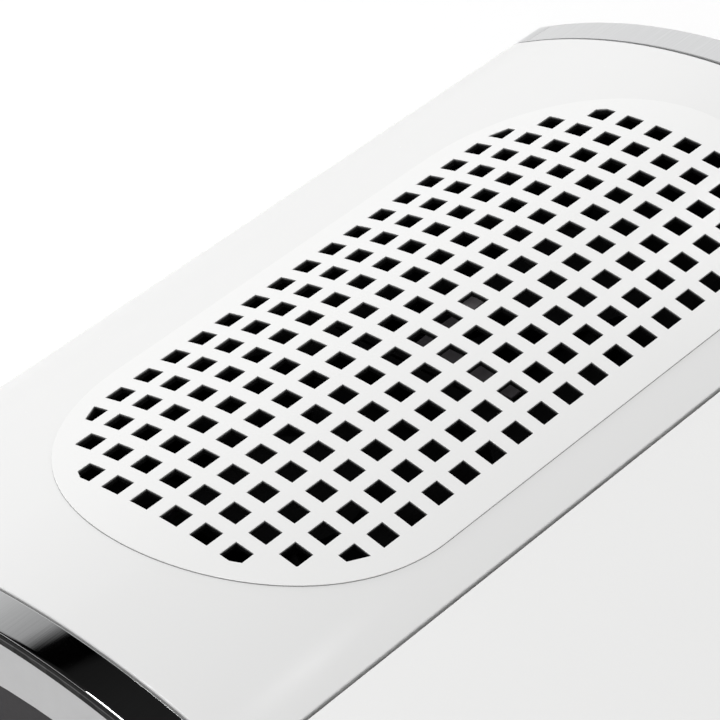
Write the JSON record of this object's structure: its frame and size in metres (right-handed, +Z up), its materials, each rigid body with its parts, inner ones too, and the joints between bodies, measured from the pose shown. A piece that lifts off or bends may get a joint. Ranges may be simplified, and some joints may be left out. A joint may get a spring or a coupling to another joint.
{
  "type": "dehumidifier",
  "caption": "Low table-top dehumidifier with an arched white top, perforated outlet insert, chrome end trims, side intakes, fans, Peltier cooler and a front water drawer.",
  "frame": {"origin": "middle of the footprint, on the table under the feet", "axes": "+X along the long side to the right, -Y the front with the drawer, +Z up"},
  "size_m": [0.245, 0.21, 0.1505],
  "materials": {
    "gloss_white": "high-gloss injection-moulded white ABS",
    "satin_white": "fine satin white ABS",
    "chrome": "bright chrome plating over plastic",
    "silver_grey": "satin silver-grey, faintly scuffed",
    "dark_grey": "satin charcoal plastic",
    "black_plastic": "matt black plastic",
    "fan_black": "semi-gloss black fan plastic",
    "aluminium": "extruded and anodised",
    "steel": "zinc-plated",
    "ivory_plastic": "natural unpainted plastic and ceramic",
    "foam": "closed-cell foam",
    "filter_black": "black net in a moulded frame",
    "smoked_tank": "translucent smoked plastic",
    "clear_plastic": "clear polished acrylic",
    "rubber": "soft matt rubber",
    "circuit_board": "green solder mask"
  },
  "bodies": {
    "housing": {"top_shell": "gloss_white", "front_cover": "satin_white", "indicator_lens": "clear_plastic", "control_board": "circuit_board", "chrome_trim_left": "chrome", "chrome_trim_right": "chrome", "end_frame_left": "silver_grey", "end_frame_right": "silver_grey", "base_plate": "dark_grey", "foot_front_left": "rubber", "foot_front_right": "rubber", "foot_back_left": "rubber", "foot_back_right": "rubber", "chassis_wall_left": "black_plastic", "chassis_wall_right": "black_plastic", "rear_cover": "satin_white", "rear_screw_1": "steel", "rear_screw_2": "steel", "rear_screw_3": "steel", "rear_screw_4": "steel", "dc_inlet": "black_plastic", "machinery_deck": "black_plastic", "drip_tray": "ivory_plastic", "cold_sink": "aluminium", "hot_sink": "aluminium", "insulation_pad": "foam", "clamp_screw_1": "steel", "clamp_screw_2": "steel", "clamp_screw_3": "steel", "clamp_screw_4": "steel", "peltier_module_left": "ivory_plastic", "peltier_module_right": "ivory_plastic", "level_switch": "black_plastic", "fan_frame_left": "fan_black", "fan_frame_right": "fan_black", "fan_plate": "black_plastic", "fan_screw_1": "steel", "fan_screw_2": "steel", "fan_screw_3": "steel", "fan_screw_4": "steel", "sensor_bracket": "steel", "humidity_sensor": "ivory_plastic"},
    "grille": {"outlet_grille": "satin_white"},
    "fan_rotor_left": {"fan_impeller_left": "fan_black"},
    "fan_rotor_right": {"fan_impeller_right": "fan_black"},
    "side_door_left": {"side_louvre_left": "dark_grey", "air_filter_left": "filter_black"},
    "side_door_right": {"side_louvre_right": "dark_grey", "air_filter_right": "filter_black"},
    "drawer": {"water_tank": "smoked_tank", "tank_cover": "smoked_tank", "tank_front": "gloss_white", "level_window": "clear_plastic"},
    "float": {"float_arm": "ivory_plastic"},
    "power_key": {"power_button": "silver_grey"},
    "fan_speed_key": {"fan_speed_button": "silver_grey"}
  },
  "joints": [
    {"name": "grille_lift", "type": "slide", "parent": "housing", "child": "grille", "axis": [0, 0, 1], "range_m": [0, 0.03]},
    {"name": "fan_left_spin", "type": "hinge", "parent": "housing", "child": "fan_rotor_left", "pos_m": [-0.0463, 0.032, 0.1242], "axis": [0, 0, 1], "continuous": true},
    {"name": "fan_right_spin", "type": "hinge", "parent": "housing", "child": "fan_rotor_right", "pos_m": [0.0463, 0.032, 0.1242], "axis": [0, 0, 1], "continuous": true},
    {"name": "side_door_left_pull", "type": "slide", "parent": "housing", "child": "side_door_left", "axis": [-1, 0, 0], "range_m": [0, 0.03]},
    {"name": "side_door_right_pull", "type": "slide", "parent": "housing", "child": "side_door_right", "axis": [1, 0, 0], "range_m": [0, 0.03]},
    {"name": "drawer_slide", "type": "slide", "parent": "housing", "child": "drawer", "axis": [0, -1, 0], "range_m": [0, 0.15]},
    {"name": "float_lift", "type": "hinge", "parent": "drawer", "child": "float", "pos_m": [0.072, 0.0184, 0.0216], "axis": [-1, 0, 0], "range_deg": [0, 30]},
    {"name": "power_press", "type": "slide", "parent": "housing", "child": "power_key", "axis": [0, 0.225, -0.9744], "range_m": [0, 0.0012], "stiffness_N_per_m": 400},
    {"name": "fan_speed_press", "type": "slide", "parent": "housing", "child": "fan_speed_key", "axis": [0, 0.225, -0.9744], "range_m": [0, 0.0012], "stiffness_N_per_m": 400}
  ]
}
